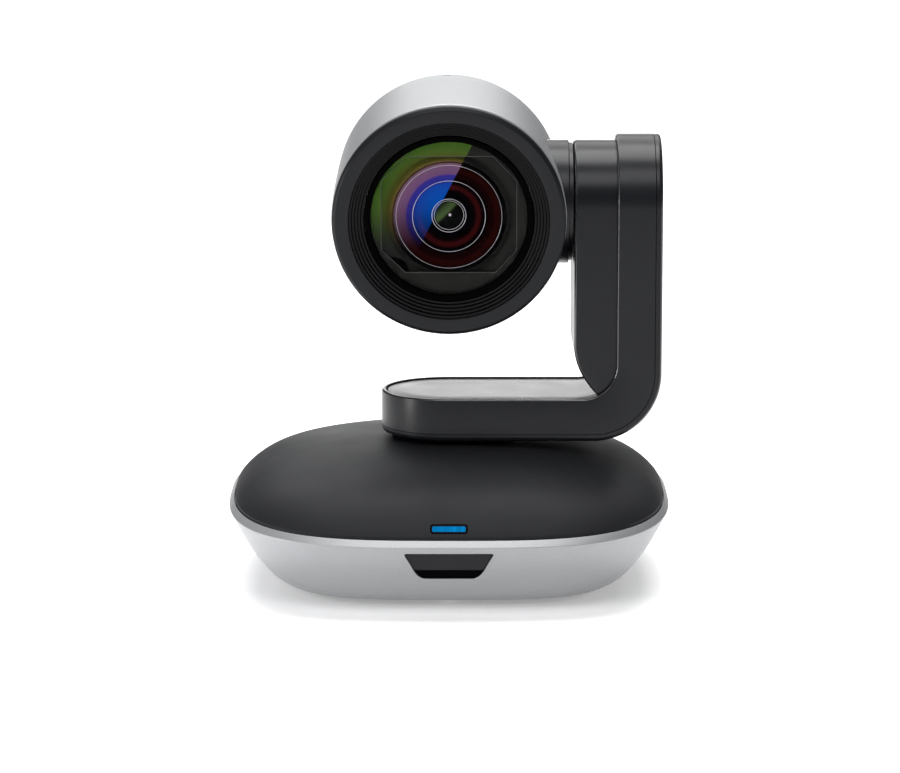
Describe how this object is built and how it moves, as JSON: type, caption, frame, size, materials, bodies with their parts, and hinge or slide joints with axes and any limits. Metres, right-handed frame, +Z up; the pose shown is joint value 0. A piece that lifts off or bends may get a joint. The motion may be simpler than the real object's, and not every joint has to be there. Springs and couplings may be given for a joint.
{
  "type": "ptz camera",
  "caption": "Desktop pan-tilt-zoom conference camera: a barrel-shaped lens head on an L-shaped side arm that swivels on a rounded-square base.",
  "frame": {"origin": "centre of the base's footprint, on the surface the feet stand on", "axes": "+Z up, -Y the way the lens looks at rest, +X towards the side arm"},
  "size_m": [0.13, 0.129, 0.1478],
  "materials": {
    "silver_paint": "satin silver metallic paint with a fine flake",
    "cover_plastic": "fine matt texture",
    "black_plastic": "fine matt texture",
    "arm_plastic": "satin with a fine texture",
    "bezel_plastic": "satin",
    "mask_plastic": "satin",
    "gloss_black": "polished",
    "ir_window": "polished, infrared-passing",
    "led_blue": "diffusing, lit from behind",
    "front_glass": "anti-reflection coated",
    "optical_glass": "anti-reflection coated",
    "rubber": "matt",
    "brass": "machined",
    "steel": "ground",
    "cast_alloy": "die cast",
    "motor_can": "drawn can",
    "gear_plastic": "moulded acetal",
    "circuit_board": "solder mask",
    "sensor": "cover glass over dark silicon"
  },
  "bodies": {
    "base": {"base_lower_shell": "silver_paint", "base_top_cover": "cover_plastic", "base_bottom_plate": "black_plastic", "port_panel": "black_plastic", "dc_jack": "gloss_black", "data_port": "steel", "tripod_insert": "brass", "foot_1": "rubber", "foot_2": "rubber", "foot_3": "rubber", "foot_4": "rubber", "plate_screw_1": "steel", "plate_screw_2": "steel", "plate_screw_3": "steel", "plate_screw_4": "steel", "ir_window": "ir_window", "led_bezel": "gloss_black", "led_lens": "led_blue", "ir_receiver": "circuit_board", "main_board": "circuit_board", "drive_chassis": "cast_alloy", "pan_motor": "motor_can", "pan_bearing": "steel"},
    "pan_pinion": {"pan_pinion": "gear_plastic"},
    "arm": {"arm_frame": "arm_plastic", "arm_outer_cover": "arm_plastic", "arm_inner_cover": "arm_plastic", "pan_collar": "black_plastic", "pan_shaft": "cast_alloy", "pan_gear": "gear_plastic", "tilt_bearing": "steel", "tilt_motor": "motor_can", "tilt_driver_board": "circuit_board"},
    "tilt_pinion": {"tilt_pinion": "gear_plastic"},
    "head": {"head_shell": "silver_paint", "head_rear_cap": "black_plastic", "front_bezel": "bezel_plastic", "glass_ring": "gloss_black", "front_glass": "front_glass", "lens_mask": "mask_plastic", "lens_barrel": "black_plastic", "front_lens": "optical_glass", "guide_rod_1": "steel", "guide_rod_2": "steel", "zoom_motor": "motor_can", "focus_motor": "motor_can", "image_sensor": "sensor", "sensor_board": "circuit_board", "camera_chassis": "cast_alloy", "tilt_hub": "black_plastic", "tilt_shaft": "steel", "tilt_gear": "gear_plastic"},
    "zoom_group": {"zoom_lens_group": "optical_glass"},
    "focus_group": {"focus_lens_group": "optical_glass"},
    "zoom_screw": {"zoom_screw": "brass"},
    "focus_screw": {"focus_screw": "brass"}
  },
  "joints": [
    {"name": "pan", "type": "hinge", "parent": "base", "child": "arm", "pos_m": [0, 0, 0.043], "axis": [0, 0, 1], "range_deg": [-130, 130]},
    {"name": "tilt", "type": "hinge", "parent": "arm", "child": "head", "pos_m": [0, 0, 0.112], "axis": [-1, 0, 0], "range_deg": [-33, 97]},
    {"name": "pan_pinion_spin", "type": "hinge", "parent": "base", "child": "pan_pinion", "pos_m": [-0.026, 0, 0.03], "axis": [0, 0, 1], "range_deg": [-434, 434]},
    {"name": "tilt_pinion_spin", "type": "hinge", "parent": "arm", "child": "tilt_pinion", "pos_m": [0.058, 0, 0.093], "axis": [-1, 0, 0], "range_deg": [-272, 93]},
    {"name": "zoom", "type": "slide", "parent": "head", "child": "zoom_group", "axis": [0, 0.9925, 0.1219], "range_m": [0, 0.008]},
    {"name": "focus", "type": "slide", "parent": "head", "child": "focus_group", "axis": [0, 0.9925, 0.1219], "range_m": [-0.0015, 0.0035]},
    {"name": "zoom_screw_spin", "type": "hinge", "parent": "head", "child": "zoom_screw", "pos_m": [0, -0.00171, 0.1259], "axis": [0, 0.9925, 0.1219], "range_deg": [-1, 1441]},
    {"name": "focus_screw_spin", "type": "hinge", "parent": "head", "child": "focus_screw", "pos_m": [0, 0.01064, 0.0992], "axis": [0, 0.9925, 0.1219], "range_deg": [-271, 631]}
  ],
  "couplings": [
    {"joint": "pan_pinion_spin", "follows": "pan", "ratio": -3.3333},
    {"joint": "tilt_pinion_spin", "follows": "tilt", "ratio": -2.8},
    {"joint": "zoom_screw_spin", "follows": "zoom", "rad_per_m": 3141.6},
    {"joint": "focus_screw_spin", "follows": "focus", "rad_per_m": 3141.6}
  ]
}
